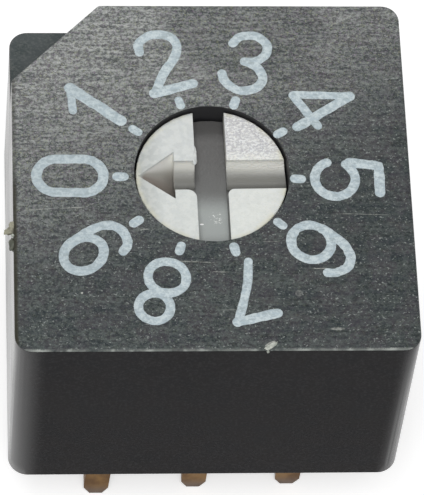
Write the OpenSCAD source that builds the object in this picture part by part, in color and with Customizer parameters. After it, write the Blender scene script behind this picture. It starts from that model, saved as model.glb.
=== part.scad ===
// Rotary dip switch, ten positions, binary coded decimal, with two rows of board pins.
// The origin is the centre of the seat plane under the feet, on the rotor's axis.
// +Z points out of the dial, -Y is the front row of pins, and the arrow rests towards -X.

/* [Housing] */
// Width of the housing's dial face, from side to side
body_w = 10.06; // [9.8:0.02:12]
// Distance from each row of pins to the dial face's front or back edge
row_margin = 1.22; // [1.1:0.01:1.4]
// Height of the housing's walls
body_h = 6.9; // [6.8:0.1:9]
// Draft of the housing's walls: how far each stands out more at the lower rim
draft_out = 0.07; // [0.05:0.01:0.15]
// Radius of the four upright edges
edge_r = 0.45; // [0.2:0.05:0.6]
// Rounding of the dial face's rim
rim_r = 0.08; // [0.04:0.01:0.15]
// Leg of the cut-off corner, seen from above
step_leg = 2.3; // [1.6:0.1:2.6]
// Depth of the cut-off corner below the dial face
step_depth = 1.38; // [0.8:0.02:1.6]
// Thickness of the roof between the dial face and the detent wheel
roof_t = 2.1; // [1.9:0.1:2.4]
// Width of the recess that takes the base, from side to side
recess_w = 8.6; // [8.4:0.1:8.8]
// Distance from each row of pins to the recess's front or back wall
recess_margin = 0.49; // [0.4:0.01:0.6]
// Corner radius of the recess
recess_r = 0.3; // [0.2:0.05:0.5]
// Height of the room over the terminals' pads
room_h = 0.9; // [0.8:0.05:1]
// Space beside the outer terminals in that room
room_side = 0.7; // [0.4:0.05:0.8]
// Space beyond the rows of terminals in that room
room_end = 0.12; // [0.05:0.01:0.15]

/* [Rotor] */
// Diameter of the knob
knob_d = 3.84; // [3.6:0.02:4]
// Depth of the knob's top below the dial face
knob_sink = 0.15; // [0.05:0.05:0.3]
// Edge break round the knob's top and the pivot's end
knob_break = 0.02; // [0.01:0.01:0.1]
// Width of the screwdriver slot
slot_w = 0.8; // [0.6:0.02:0.9]
// Depth of the screwdriver slot below the knob's top
slot_depth = 0.5; // [0.45:0.01:0.9]
// Width of the arrow's round-bottomed shaft
shaft_w = 0.84; // [0.6:0.02:0.9]
// Distance that the arrow lies towards the back of the knob's axis
shaft_shift = 0.04; // [0:0.01:0.08]
// Length of the arrow's conical head
head_len = 0.93; // [0.7:0.01:1]
// Width of the arrow's head across its barbs
head_w = 1.36; // [1:0.02:1.4]
// Distance of the arrow's apex from the axis
apex_reach = 1.87; // [1.7:0.01:1.88]
// Radius of the worn inner corner beside the head
worn_r = 0.24; // [0.1:0.02:0.3]
// Radius of the worn corner across the slot from it
worn_far_r = 0.16; // [0.1:0.02:0.3]
// Thickness of the detent wheel
wheel_h = 1.2; // [1.1:0.05:1.3]
// Diameter of the detent wheel
wheel_d = 7.1; // [7:0.05:7.2]
// Radius of each detent notch
notch_r = 0.55; // [0.5:0.01:0.65]
// Depth of each detent notch
notch_depth = 0.25; // [0.2:0.01:0.3]
// Diameter of the hub under the wheel
hub_d = 1.9; // [1.7:0.05:1.94]
// Diameter of the pivot in the base
pivot_d = 1.2; // [1:0.05:1.3]
// Length of the pivot inside the base
pivot_len = 1.2; // [0.9:0.05:1.25]
// Angle by which the detent's play leaves the rotor off its position
rest_skew = 0.8; // [0:0.1:1.5]

/* [Code disc] */
// Thickness of the code disc
disc_t = 0.15; // [0.1:0.01:0.2]
// Radius of the common ring's middle
common_r = 1.22; // [1.2:0.01:1.24]
// Distance from one track to the next
track_pitch = 0.5; // [0.48:0.01:0.5]
// Width of each track's windows
track_w = 0.34; // [0.3:0.01:0.36]

/* [Base and terminals] */
// Thickness of the base plate
base_t = 1.6; // [1.55:0.05:1.8]
// Depth of the base's underside inside the housing's lower rim
base_sink = 0.4; // [0.35:0.05:0.5]
// Thickness of the potting under the base
potting_t = 0.34; // [0.2:0.02:0.34]
// Height of the feet that stand the housing off the board
foot_h = 0.3; // [0.2:0.05:0.5]
// Diameter of each foot
foot_d = 1.2; // [0.8:0.1:1.4]
// Distance between the two columns of feet
foot_span_x = 6.8; // [6:0.1:7]
// Distance between the two rows of feet
foot_span_y = 3.6; // [3:0.1:4.4]
// Distance from one pin to the next in a row
pin_pitch = 2.54; // [2.5:0.01:2.54]
// Distance between the two rows of pins
row_span = 7.62; // [7.5:0.01:7.62]
// Width of each pin
pin_w = 0.66; // [0.5:0.02:0.7]
// Thickness of each pin
pin_t = 0.35; // [0.25:0.01:0.36]
// Length of each pin below the housing's lower rim
pin_len = 3.14; // [2.8:0.02:4]
// Length of the tapered tip of each pin
taper_len = 0.3; // [0.1:0.02:0.4]
// Width that the taper takes off each side of a pin's tip
taper_w = 0.16; // [0.05:0.01:0.2]
// Length of the pad that each terminal folds inwards, flush in the base
pad_len = 0.98; // [0.8:0.02:1.1]
// Outward lean of the front left pin
lean_left = 3; // [-3:0.5:3]
// Outward lean of the front right pin
lean_right = -1.3; // [-3:0.1:3]
// Sideways lean of the front left pin
sway_left = -2.6; // [-3:0.1:3]
// Sideways lean of the other two front pins
sway_others = -0.9; // [-3:0.1:3]

/* [Springs and seal] */
// Thickness of the detent springs
leaf_t = 0.12; // [0.08:0.01:0.15]
// Distance from the wheel's edge to the springs' strips
leaf_stand = 0.1; // [0.06:0.01:0.12]
// Height of the detent springs
leaf_h = 0.9; // [0.7:0.05:1]
// Length of the detent springs
leaf_len = 5.4; // [5:0.1:5.8]
// Length at each end of a spring that its slot grips
leaf_grip = 0.5; // [0.3:0.05:0.6]
// Spare room behind the middle of a spring that is pushed out of its notch
flex_spare = 0.1; // [0.05:0.01:0.15]
// Outer radius of the knuckle that drops into a notch
knuckle_r = 0.34; // [0.3:0.01:0.4]
// Thickness of the wipers
wiper_t = 0.1; // [0.08:0.01:0.14]
// Width of the wipers on their pads
wiper_w = 0.5; // [0.4:0.02:0.6]
// Width of the wipers at their tips
wiper_tip_w = 0.26; // [0.2:0.02:0.3]
// Length of the wipers' flat feet, from their terminals' middle inwards
wiper_foot = 0.75; // [0.6:0.05:0.8]
// Length of the wipers' feet on the other side of their terminals' middle
wiper_heel = 0.1; // [0.05:0.01:0.15]
// Radius of the knuckles that touch the code disc
tip_r = 0.12; // [0.08:0.01:0.14]
// Distance of the wipers' tips from the line between the rows
tip_offset = 0.6; // [0.5:0.05:0.7]
// Height of the rotor's sealing ring
seal_h = 0.82; // [0.7:0.02:0.84]
// Wall of the rotor's sealing ring
seal_w = 0.72; // [0.6:0.01:0.8]

/* [Clearances] */
// Radial clearance of the knob in its bore
knob_fit = 0.05; // [0.03:0.01:0.08]
// Radial clearance of the pivot in its bearing
pivot_fit = 0.03; // [0.02:0.01:0.06]
// Running gap above the wheel and under the hub
run_gap = 0.05; // [0.03:0.01:0.08]
// Clearance between the base and its recess, each side
base_fit = 0.05; // [0.02:0.01:0.08]
// Clearance between the wheel and the round chamber
wheel_fit = 0.2; // [0.15:0.05:0.25]
// Gap between a spring and what it presses on, at rest
spring_gap = 0.03; // [0.02:0.01:0.04]
// Clearance round seated pieces such as the pins, the feet, the seal and the code disc
seat_fit = 0.02; // [0.01:0.01:0.03]

/* [Hidden] */
$fn = 96;

black_plastic = [0.16, 0.16, 0.17];
dark_resin = [0.10, 0.08, 0.07];
white_plastic = [0.86, 0.86, 0.84];
tinned_bronze = [0.62, 0.45, 0.24];
spring_bronze = [0.80, 0.62, 0.34];
spring_steel = [0.70, 0.71, 0.72];
gold_plate = [0.88, 0.70, 0.30];
black_rubber = [0.08, 0.08, 0.08];

positions = 10;
step_angle = 360 / positions;
cut_margin = 1;
// Share of the seal's width that its corners are rounded by
seal_rounding = 0.4;
// Distance that the code disc stays inside the wheel's edge
disc_inset = 0.05;
body_d = row_span + 2 * row_margin;
recess_d = row_span + 2 * recess_margin;
half_w = body_w / 2;
half_d = body_d / 2;

// Levels, from the seat plane up
z_rim = foot_h;
z_dial = foot_h + body_h;
z_step = z_dial - step_depth;
z_roof = z_dial - roof_t;
z_knob = z_dial - knob_sink;
z_base = z_rim + base_sink;
z_deck = z_base + base_t;
z_wheel_top = z_roof - run_gap;
z_wheel = z_wheel_top - wheel_h;
z_disc = z_wheel - disc_t;
z_hub = z_deck + run_gap;
z_pivot = z_deck - pivot_len;
z_bearing = z_pivot - run_gap;
z_potting = z_base - potting_t;
z_tip = z_rim - pin_len;

// Sealing ring and its gland in the roof
gland_d = knob_d + 2 * (seal_w + 2 * seat_fit);
gland_h = seal_h + 2 * seat_fit;
seal_corner_r = seal_rounding * seal_w;

// Detent: the springs' knuckles reach almost to the bottom of the notches
wheel_r = wheel_d / 2;
chamber_r = wheel_r + wheel_fit;
notch_centre_r = wheel_r - notch_depth + notch_r;
knuckle_x = wheel_r - notch_depth + spring_gap + knuckle_r;
leaf_x = wheel_r + leaf_stand;
leaf_z = z_wheel + (wheel_h - leaf_h) / 2;
flex_room = notch_depth + flex_spare;
leaf_span = leaf_len - 2 * leaf_grip;

// Terminals' room in the housing, just inside the recess
room_x = 2 * (pin_pitch + pin_w / 2 + room_side);
room_y = row_span + pin_t + 2 * room_end;

// Underside of the terminals' pads, and the level at which the wipers touch the disc
z_fold = z_deck - pin_t;
z_contact = z_disc - spring_gap;

// The bit that each track carries, from the innermost track out
track_bits = [8, 4, 2, 1];

// Radius of a bit's track, and the angle at which its wiper stands
function track_r(i) = common_r + track_pitch * (i + 1);
function tip_x(i) = sqrt(pow(track_r(i), 2) - pow(tip_offset, 2));
// Bits 1 and 4 are in the front row, and bits 1 and 2 are on the left
function is_front(bit) = bit == 1 || bit == 4;
function is_left(bit) = bit == 1 || bit == 2;
function side_x(bit) = is_left(bit) ? -1 : 1;
function side_y(bit) = is_front(bit) ? -1 : 1;
function tip_angle(i) = atan2(side_y(track_bits[i]) * tip_offset, side_x(track_bits[i]) * tip_x(i));

// Binary code: true where the bit is set at a dial position
function is_set(bit, p) = floor((p % positions) / bit) % 2 == 1;
// Number of positions in a row, from p on, at which the bit is clear
function clear_run(bit, p) = is_set(bit, p) ? 0 : 1 + clear_run(bit, p + 1);
// Positions at which a clear run begins
function run_starts(bit) = [
    for (p = [0:positions - 1]) if (!is_set(bit, p) && is_set(bit, p + positions - 1)) p
];

// Rectangle with round corners, true arcs
module round_rectangle(w, d, r) {
    square([w - 2 * r, d], center = true);
    square([w, d - 2 * r], center = true);
    for (x = [-1, 1], y = [-1, 1])
        translate([x * (w / 2 - r), y * (d / 2 - r)]) circle(r);
}

// Bar along X whose long sides have the draft, and whose two upper long edges are round
module rim_bar(len, w, h, e) {
    foot = w / 2 + draft_out;
    rotate([90, 0, 90])
        linear_extrude(len, center = true) {
            polygon([[-foot, 0], [foot, 0], [w / 2, h - e], [-w / 2, h - e]]);
            translate([e - w / 2, 0]) square([w - 2 * e, h]);
            for (s = [-1, 1]) translate([s * (w / 2 - e), h - e]) circle(e, $fn = 32);
        }
}

// Upright round post with the draft, whose upper edge is round
module rim_post(r, h, e) {
    rotate_extrude() {
        polygon([[0, 0], [r + draft_out, 0], [r, h - e], [0, h - e]]);
        square([r - e, h]);
        translate([r - e, h - e]) circle(e, $fn = 32);
    }
}

// Block with round upright edges and a softly rounded top rim
module rim_block(w, d, h, r, e) {
    rim_bar(w - 2 * r, d, h, e);
    rotate([0, 0, 90]) rim_bar(d - 2 * r, w, h, e);
    for (x = [-1, 1], y = [-1, 1])
        translate([x * (w / 2 - r), y * (d / 2 - r), 0]) rim_post(r, h, e);
}

// Triangular corner that is cut away down to the step
module corner_cut() {
    linear_extrude(step_depth + cut_margin)
        polygon([
            [-half_w - cut_margin, half_d - step_leg - cut_margin],
            [-half_w - cut_margin, half_d + cut_margin],
            [-half_w + step_leg + cut_margin, half_d + cut_margin]
        ]);
}

// Room for one detent spring: a slot that grips its ends, and a space behind its middle
module spring_room() {
    translate([leaf_x - spring_gap, -leaf_len / 2 - seat_fit, z_deck])
        cube([leaf_t + spring_gap, leaf_len + 2 * seat_fit, leaf_z + leaf_h + seat_fit - z_deck]);
    translate([wheel_r - notch_depth, -leaf_span / 2, z_deck])
        cube([leaf_x + leaf_t + flex_room - wheel_r + notch_depth, leaf_span, z_roof - z_deck]);
}

module housing() {
    color(black_plastic)
        difference() {
            translate([0, 0, z_rim]) rim_block(body_w, body_d, body_h, edge_r, rim_r);
            translate([0, 0, z_step]) corner_cut();
            // bore for the knob, and the gland of its sealing ring
            translate([0, 0, z_roof]) cylinder(d = knob_d + 2 * knob_fit, h = roof_t + cut_margin);
            translate([0, 0, z_roof - run_gap]) cylinder(d = gland_d, h = gland_h + run_gap);
            // round chamber for the wheel, and the springs' rooms on both sides
            translate([0, 0, z_deck]) cylinder(r = chamber_r, h = z_roof - z_deck);
            for (a = [0, 180]) rotate([0, 0, a]) spring_room();
            // room over the terminals' pads, and the recess for the base
            translate([-room_x / 2, -room_y / 2, z_deck]) cube([room_x, room_y, room_h]);
            translate([0, 0, z_rim - cut_margin])
                linear_extrude(z_deck - z_rim + cut_margin)
                    round_rectangle(recess_w, recess_d, recess_r);
        }
}

// Calls its children at each of the six pins
module at_pins() {
    for (x = [-1:1], y = [-1, 1]) translate([x * pin_pitch, y * row_span / 2, 0]) children();
}

// Calls its children at each of the four feet
module at_feet() {
    for (x = [-1, 1], y = [-1, 1])
        translate([x * foot_span_x / 2, y * foot_span_y / 2, 0]) children();
}

// Pockets that take the folded pads of the front row
module pad_pockets() {
    for (x = [-1:1])
        translate([x * pin_pitch - pin_w / 2 - seat_fit, -(row_span + pin_t) / 2 - seat_fit, z_fold])
            cube([pin_w + 2 * seat_fit, pad_len + 2 * seat_fit, pin_t + cut_margin]);
}

module base() {
    color(black_plastic)
        difference() {
            union() {
                translate([0, 0, z_base])
                    linear_extrude(base_t)
                        round_rectangle(
                            recess_w - 2 * base_fit, recess_d - 2 * base_fit, recess_r - base_fit
                        );
                at_feet() cylinder(d = foot_d, h = z_base + base_t / 2);
            }
            translate([0, 0, z_bearing])
                cylinder(d = pivot_d + 2 * pivot_fit, h = z_deck - z_bearing + cut_margin);
            at_pins()
                translate([0, 0, z_base + base_t / 2])
                    cube([pin_w + 2 * seat_fit, pin_t + 2 * seat_fit, base_t + cut_margin], center = true);
            for (a = [0, 180]) rotate([0, 0, a]) pad_pockets();
        }
}

module potting_seal() {
    color(dark_resin)
        translate([0, 0, z_potting])
            linear_extrude(potting_t)
                difference() {
                    round_rectangle(recess_w - 2 * seat_fit, recess_d - 2 * seat_fit, recess_r - seat_fit);
                    at_pins() square([pin_w + 2 * seat_fit, pin_t + 2 * seat_fit], center = true);
                    at_feet() circle(d = foot_d + 2 * seat_fit);
                }
}

// Side outline of a terminal at the front row, across Y and Z, with its pad folded inwards.
// Below the potting, the pin leans outwards by the angle given.
module terminal_side(lean) {
    out = -pin_t / 2;
    in = pin_t / 2;
    drift = -tan(lean) * (z_potting - z_tip);
    translate([in, z_fold]) circle(pin_t);
    translate([in, z_fold]) square([pad_len - pin_t, pin_t]);
    polygon([
        [out, z_potting],
        [out + drift, z_tip],
        [in + drift, z_tip],
        [in, z_potting],
        [in, z_fold],
        [out, z_fold]
    ]);
}

// Front outline of a terminal, across X and Z, with its tapered tip.
// Below the potting, the pin leans sideways by the angle given.
module terminal_front(sway) {
    drift = tan(sway) * (z_potting - z_tip);
    polygon([
        [-pin_w / 2, z_deck + pin_t],
        [-pin_w / 2, z_potting],
        [drift - pin_w / 2, z_tip + taper_len],
        [drift - pin_w / 2 + taper_w, z_tip],
        [drift + pin_w / 2 - taper_w, z_tip],
        [drift + pin_w / 2, z_tip + taper_len],
        [pin_w / 2, z_potting],
        [pin_w / 2, z_deck + pin_t]
    ]);
}

// Terminal at the front row, at the distance x from the middle
module terminal(x, lean = 0, sway = 0) {
    color(tinned_bronze)
        translate([x, -row_span / 2, 0])
            difference() {
                // each outline is drawn out well past the other one's ends
                intersection() {
                    rotate([90, 0, 90]) linear_extrude(2 * pin_w, center = true) terminal_side(lean);
                    rotate([90, 0, 0]) linear_extrude(4 * row_span, center = true) terminal_front(sway);
                }
                // the fold's inside lies on the floor of the base's pocket
                translate([-pin_w, pin_t / 2, z_fold - 2 * pin_t])
                    cube([2 * pin_w, 2 * pin_t, 2 * pin_t]);
            }
}

// Side outline of a wiper at the front row, from its pad up to the tip under the disc
module wiper_side(y_tip) {
    y_pad = -row_span / 2;
    y_slope = y_pad + wiper_foot;
    polygon([
        [y_pad - wiper_heel, z_deck],
        [y_slope, z_deck],
        [y_tip, z_contact - wiper_t],
        [y_tip, z_contact],
        [y_slope - wiper_t / 2, z_deck + wiper_t],
        [y_pad - wiper_heel, z_deck + wiper_t]
    ]);
    translate([y_tip, z_contact - tip_r]) circle(tip_r, $fn = 32);
}

// Outline of a wiper from above, from its pad at x to its tip at x_tip
module wiper_plan(x, x_tip, y_tip) {
    y_pad = -row_span / 2;
    y_slope = y_pad + wiper_foot;
    polygon([
        [x - wiper_w / 2, y_pad - wiper_heel],
        [x + wiper_w / 2, y_pad - wiper_heel],
        [x + wiper_w / 2, y_slope],
        [x_tip + wiper_tip_w / 2, y_tip],
        [x_tip + wiper_tip_w / 2, y_tip + tip_r],
        [x_tip - wiper_tip_w / 2, y_tip + tip_r],
        [x_tip - wiper_tip_w / 2, y_tip],
        [x - wiper_w / 2, y_slope]
    ]);
}

// Wiper at the front row
module wiper(x, x_tip, y_tip) {
    color(spring_bronze)
        intersection() {
            rotate([90, 0, 90]) linear_extrude(body_w, center = true) wiper_side(y_tip);
            linear_extrude(z_dial) wiper_plan(x, x_tip, y_tip);
        }
}

// Wiper of the bit on track i: the back row is the front row turned round
module bit_wiper(i) {
    bit = track_bits[i];
    x_sign = side_x(bit) * (is_front(bit) ? 1 : -1);
    rotate([0, 0, is_front(bit) ? 0 : 180]) wiper(x_sign * pin_pitch, x_sign * tip_x(i), -tip_offset);
}

// Strip spring with a round knuckle in its middle that rests in a notch of the wheel
module detent_spring() {
    color(spring_steel)
        translate([0, 0, leaf_z])
            linear_extrude(leaf_h) {
                difference() {
                    union() {
                        translate([leaf_x, -leaf_len / 2]) square([leaf_t, leaf_len]);
                        intersection() {
                            translate([knuckle_x, 0]) circle(knuckle_r);
                            translate([0, -leaf_len / 2]) square([leaf_x + leaf_t, leaf_len]);
                        }
                    }
                    intersection() {
                        translate([knuckle_x, 0]) circle(knuckle_r - leaf_t);
                        translate([0, -leaf_len / 2]) square([leaf_x + leaf_t + cut_margin, leaf_len]);
                    }
                }
            }
}

// Turns its children with the rotor to where the detent's play has left it
module at_rest_angle() {
    rotate([0, 0, rest_skew]) children();
}

// Ring sector of square section
module sector(r, w, h, from, span) {
    rotate([0, 0, from])
        rotate_extrude(angle = span)
            translate([r - w / 2, 0]) square([w, h]);
}

// One sector for each run of clear positions on each track, shrunk all round by fit
module code_windows(h, fit) {
    for (i = [0:len(track_bits) - 1], p = run_starts(track_bits[i])) {
        r = track_r(i);
        fit_angle = fit / r * 180 / PI;
        span = step_angle * clear_run(track_bits[i], p);
        sector(
            r, track_w - 2 * fit, h,
            tip_angle(i) + step_angle * (p - 0.5) + fit_angle, span - 2 * fit_angle
        );
    }
}

module code_disc() {
    color(gold_plate)
        at_rest_angle()
            translate([0, 0, z_disc])
                difference() {
                    cylinder(r = wheel_r - disc_inset, h = disc_t);
                    translate([0, 0, -cut_margin])
                        cylinder(d = hub_d + 2 * seat_fit, h = disc_t + 2 * cut_margin);
                    translate([0, 0, -cut_margin]) code_windows(disc_t + 2 * cut_margin, 0);
                    detent_notches(disc_t);
                }
}

// Cylinders that cut the ten notches out of the wheel's edge
module detent_notches(h) {
    for (p = [0:positions - 1])
        rotate([0, 0, p * step_angle])
            translate([notch_centre_r, 0, -cut_margin]) cylinder(r = notch_r, h = h + 2 * cut_margin);
}

// The arrow along -X: a round-bottomed shaft from the rim, and a cone that points at the other rim
module arrow() {
    translate([-apex_reach, shaft_shift, z_knob])
        rotate([0, 90, 0]) cylinder(r1 = 0, r2 = head_w / 2, h = head_len);
    translate([-apex_reach + head_len, shaft_shift, z_knob])
        rotate([0, 90, 0]) cylinder(d = shaft_w, h = knob_d);
}

// Worn inner corner of a front quarter, on one side of the screwdriver slot
module worn_corner(side, r) {
    translate([side * slot_w / 2, shaft_shift - shaft_w / 2, z_knob - shaft_w / 2])
        linear_extrude(shaft_w / 2 + cut_margin)
            difference() {
                translate([-r, -r]) square(2 * r);
                translate([side * r, -r]) circle(r);
            }
}

// Profile of the knob, wheel, hub and pivot, turned about the axis
module rotor_profile() {
    polygon([
        [0, z_pivot],
        [pivot_d / 2 - knob_break, z_pivot],
        [pivot_d / 2, z_pivot + knob_break],
        [pivot_d / 2, z_hub],
        [hub_d / 2, z_hub],
        [hub_d / 2, z_wheel],
        [wheel_r, z_wheel],
        [wheel_r, z_wheel_top],
        [knob_d / 2, z_wheel_top],
        [knob_d / 2, z_knob - knob_break],
        [knob_d / 2 - knob_break, z_knob],
        [0, z_knob]
    ]);
}

module rotor() {
    color(white_plastic)
        at_rest_angle() {
            difference() {
                rotate_extrude() rotor_profile();
                translate([0, 0, z_wheel]) detent_notches(wheel_h);
                translate([-slot_w / 2, -knob_d, z_knob - slot_depth])
                    cube([slot_w, 2 * knob_d, slot_depth + cut_margin]);
                arrow();
                worn_corner(-1, worn_r);
                worn_corner(1, worn_far_r);
            }
            // raised sectors that fill the disc's windows flush
            translate([0, 0, z_disc]) code_windows(disc_t, seat_fit);
        }
}

// Ring squeezed between the knob and its gland
module rotor_seal() {
    r_in = knob_d / 2 + seat_fit;
    color(black_rubber)
        translate([0, 0, z_roof + seat_fit])
            rotate_extrude()
                translate([r_in, 0]) {
                    translate([seal_corner_r, 0]) square([seal_w - 2 * seal_corner_r, seal_h]);
                    translate([0, seal_corner_r]) square([seal_w, seal_h - 2 * seal_corner_r]);
                    for (
                        x = [seal_corner_r, seal_w - seal_corner_r],
                        y = [seal_corner_r, seal_h - seal_corner_r]
                    )
                        translate([x, y]) circle(seal_corner_r, $fn = 32);
                }
}

housing();
base();
potting_seal();
detent_spring();  // detent_spring_right
rotate([0, 0, 180]) detent_spring();  // detent_spring_left
terminal(-pin_pitch, lean_left, sway_left);  // terminal_1
terminal(0, 0, sway_others);  // terminal_c_front
terminal(pin_pitch, lean_right, sway_others);  // terminal_4
rotate([0, 0, 180]) terminal(-pin_pitch);  // terminal_8
rotate([0, 0, 180]) terminal(0);  // terminal_c_back
rotate([0, 0, 180]) terminal(pin_pitch);  // terminal_2
bit_wiper(0);  // wiper_8
bit_wiper(1);  // wiper_4
bit_wiper(2);  // wiper_2
bit_wiper(3);  // wiper_1
wiper(0, 0, -common_r);  // wiper_c_front
rotate([0, 0, 180]) wiper(0, 0, -common_r);  // wiper_c_back
rotor();
code_disc();
rotor_seal();
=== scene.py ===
"""The looks of a rotary dip switch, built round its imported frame.

Tables and sizes are in millimetres, and MM turns them into metres. +Z points out of the dial,
-Y is the side towards the camera and -X is the side of digit 0.
"""
import math

import bmesh
import bpy
from mathutils import Matrix, Vector, noise


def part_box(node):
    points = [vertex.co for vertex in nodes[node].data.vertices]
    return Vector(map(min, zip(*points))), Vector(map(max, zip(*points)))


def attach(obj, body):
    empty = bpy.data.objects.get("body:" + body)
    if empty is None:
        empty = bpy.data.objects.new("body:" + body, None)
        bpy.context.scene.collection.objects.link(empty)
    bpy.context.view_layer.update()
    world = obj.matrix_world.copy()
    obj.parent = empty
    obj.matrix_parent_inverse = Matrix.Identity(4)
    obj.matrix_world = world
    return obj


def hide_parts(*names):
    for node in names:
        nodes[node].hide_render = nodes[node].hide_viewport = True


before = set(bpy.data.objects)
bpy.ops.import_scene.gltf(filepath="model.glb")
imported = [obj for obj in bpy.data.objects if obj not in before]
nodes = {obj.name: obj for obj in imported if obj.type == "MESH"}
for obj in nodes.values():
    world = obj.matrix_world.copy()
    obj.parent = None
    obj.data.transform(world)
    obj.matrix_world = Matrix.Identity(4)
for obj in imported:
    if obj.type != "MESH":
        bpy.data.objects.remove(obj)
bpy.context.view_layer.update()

MM = 0.001

# Places read from the frame, in millimetres
housing_low, housing_high = (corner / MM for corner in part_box("housing"))
_, rotor_high = (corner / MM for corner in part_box("rotor"))
DIAL_Z = housing_high.z
RIM_Z = housing_low.z
KNOB_Z = rotor_high.z
TIP_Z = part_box("terminal_c_front")[0].z / MM

# The dial's face and its rounded edge lie in this band, which gives half the face's width
EDGE_BAND = 0.09
HALF = max(v.co.x / MM for v in nodes["housing"].data.vertices if v.co.z / MM > DIAL_Z - EDGE_BAND)

# Least upward share of a face's normal that still counts as dial, and as a level ledge
RIM_TILT = 0.25
LEVEL_TILT = 0.98

# The cut corner's step: its depth below the dial, its legs along the two sides, and the slack round them
STEP_DEPTH = 1.38
STEP_LEG = 2.3
STEP_SLACK = 0.1

# Faces this far in from the walls and below the dial are the inside
WALL_THICKNESS = 0.6
SKIN = 0.03

# Edges this near the walls are softened, by this much. Before that, faces that meet at less than
# FLAT_ANGLE become one. Edges of more than SHARP_ANGLE are sharp, and points nearer than WELD are one
OUTER_BAND = 0.1
EDGE_ROUNDING = 0.02
FLAT_ANGLE = math.radians(0.6)
SHARP_ANGLE = math.radians(32)
WELD = 0.0001

# The floor's radius in metres and its gap under the pins' tips in millimetres
FLOOR_RADIUS = 0.6
FLOOR_GAP = 0.01

# Light of the floor where it is seen, and of the sky where it isn't, as shares of white
FLOOR_GLOW = 0.5
SKY_FILL = 0.34

# Camera, as the photograph was taken: angles in degrees, distances in millimetres
CAMERA_PITCH = 60.779
CAMERA_YAW = -8.499
CAMERA_ROLL = 7.292
CAMERA_DISTANCE = 93.547
CAMERA_AIM = (-0.002, -1.878)
FOCAL_PIXELS = 3708.27
IMAGE_HEIGHT = 495
SENSOR = 36


def make_camera():
    pitch, yaw, roll = (math.radians(a) for a in (CAMERA_PITCH, CAMERA_YAW, CAMERA_ROLL))
    level_part = math.cos(pitch)
    back = Vector((math.sin(yaw) * level_part, -math.cos(yaw) * level_part, math.sin(pitch)))
    level = Vector((math.cos(yaw), math.sin(yaw), 0))
    upright = back.cross(level)
    right = level * math.cos(roll) + upright * math.sin(roll)
    up = upright * math.cos(roll) - level * math.sin(roll)
    aim = Vector((0, 0, DIAL_Z)) + right * CAMERA_AIM[0] + up * CAMERA_AIM[1]
    data = bpy.data.cameras.new("camera")
    data.sensor_width = SENSOR
    data.lens = FOCAL_PIXELS / IMAGE_HEIGHT * SENSOR
    data.clip_start = 0.005
    data.clip_end = 5
    camera = bpy.data.objects.new("camera", data)
    bpy.context.scene.collection.objects.link(camera)
    camera.location = (aim + back * CAMERA_DISTANCE) * MM
    camera.rotation_mode = "QUATERNION"
    camera.rotation_quaternion = Matrix((right, up, back)).transposed().to_quaternion()
    bpy.context.scene.camera = camera


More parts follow.
